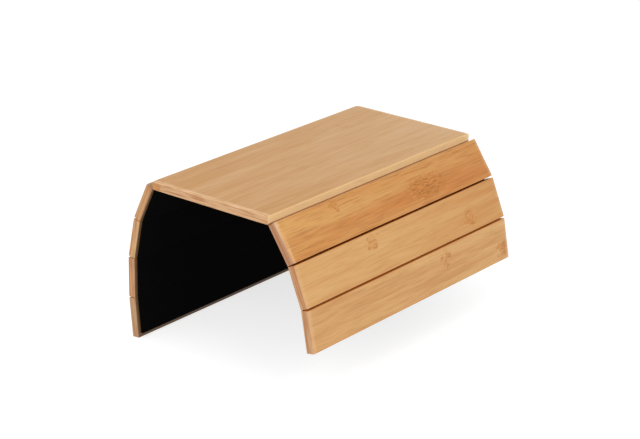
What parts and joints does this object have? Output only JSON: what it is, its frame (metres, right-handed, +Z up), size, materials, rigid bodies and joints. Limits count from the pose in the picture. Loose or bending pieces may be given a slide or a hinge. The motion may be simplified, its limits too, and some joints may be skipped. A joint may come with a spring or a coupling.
{
  "type": "sofa arm tray",
  "caption": "Flexible bamboo tray for a sofa arm: a wide top board with hinged side slats that hang down over the arm on a black backing sheet.",
  "frame": {"origin": "centre of the flat underside of the top board's backing, which rests on the sofa arm", "axes": "+X across the tray to the side with three slats, +Y along the sofa arm, +Z up through the top board"},
  "size_m": [0.266, 0.35, 0.192],
  "materials": {
    "bamboo": "satin lacquered bamboo",
    "black_backing": "matt black non-slip sheet"
  },
  "bodies": {
    "top": {"top_board": "bamboo", "top_backing": "black_backing"},
    "left_1": {"left_slat_1": "bamboo", "left_backing_1": "black_backing", "left_hinge_strip_1": "black_backing"},
    "left_2": {"left_slat_2": "bamboo", "left_backing_2": "black_backing", "left_hinge_strip_2": "black_backing"},
    "left_3": {"left_slat_3": "bamboo", "left_backing_3": "black_backing", "left_hinge_strip_3": "black_backing"},
    "left_4": {"left_slat_4": "bamboo", "left_backing_4": "black_backing", "left_hinge_strip_4": "black_backing"},
    "right_1": {"right_slat_1": "bamboo", "right_backing_1": "black_backing", "right_hinge_strip_1": "black_backing"},
    "right_2": {"right_slat_2": "bamboo", "right_backing_2": "black_backing", "right_hinge_strip_2": "black_backing"},
    "right_3": {"right_slat_3": "bamboo", "right_backing_3": "black_backing", "right_hinge_strip_3": "black_backing"}
  },
  "joints": [
    {"name": "left_hinge_1", "type": "hinge", "parent": "top", "child": "left_1", "pos_m": [-0.0819, 0, 0.002], "axis": [0, -1, 0], "range_deg": [-64.5, 25.5], "stiffness_Nm_per_rad": 0.12, "springref_deg": -55.04, "deforming": ["left_hinge_strip_1"]},
    {"name": "left_hinge_2", "type": "hinge", "parent": "left_1", "child": "left_2", "pos_m": [-0.10205, 0, -0.04024], "axis": [0, -1, 0], "range_deg": [-13.5, 11.5], "stiffness_Nm_per_rad": 0.2, "springref_deg": -10.91, "deforming": ["left_hinge_strip_2"]},
    {"name": "left_hinge_3", "type": "hinge", "parent": "left_2", "child": "left_3", "pos_m": [-0.11178, 0, -0.08602], "axis": [0, -1, 0], "range_deg": [-11, 14], "stiffness_Nm_per_rad": 0.2, "springref_deg": -2.41, "deforming": ["left_hinge_strip_3"]},
    {"name": "left_hinge_4", "type": "hinge", "parent": "left_3", "child": "left_4", "pos_m": [-0.1126, 0, -0.13281], "axis": [0, -1, 0], "range_deg": [-6, 19], "stiffness_Nm_per_rad": 0.2, "springref_deg": -0.72, "deforming": ["left_hinge_strip_4"]},
    {"name": "right_hinge_1", "type": "hinge", "parent": "top", "child": "right_1", "pos_m": [0.0819, 0, 0.002], "axis": [0, 1, 0], "range_deg": [-56, 34], "stiffness_Nm_per_rad": 0.12, "springref_deg": -53.3, "deforming": ["right_hinge_strip_1"]},
    {"name": "right_hinge_2", "type": "hinge", "parent": "right_1", "child": "right_2", "pos_m": [0.10807, 0, -0.0368], "axis": [0, 1, 0], "range_deg": [-12, 13], "stiffness_Nm_per_rad": 0.2, "springref_deg": -11.49, "deforming": ["right_hinge_strip_2"]},
    {"name": "right_hinge_3", "type": "hinge", "parent": "right_2", "child": "right_3", "pos_m": [0.1256, 0, -0.08019], "axis": [0, 1, 0], "range_deg": [-12, 13], "stiffness_Nm_per_rad": 0.2, "springref_deg": -2.49, "deforming": ["right_hinge_strip_3"]}
  ]
}
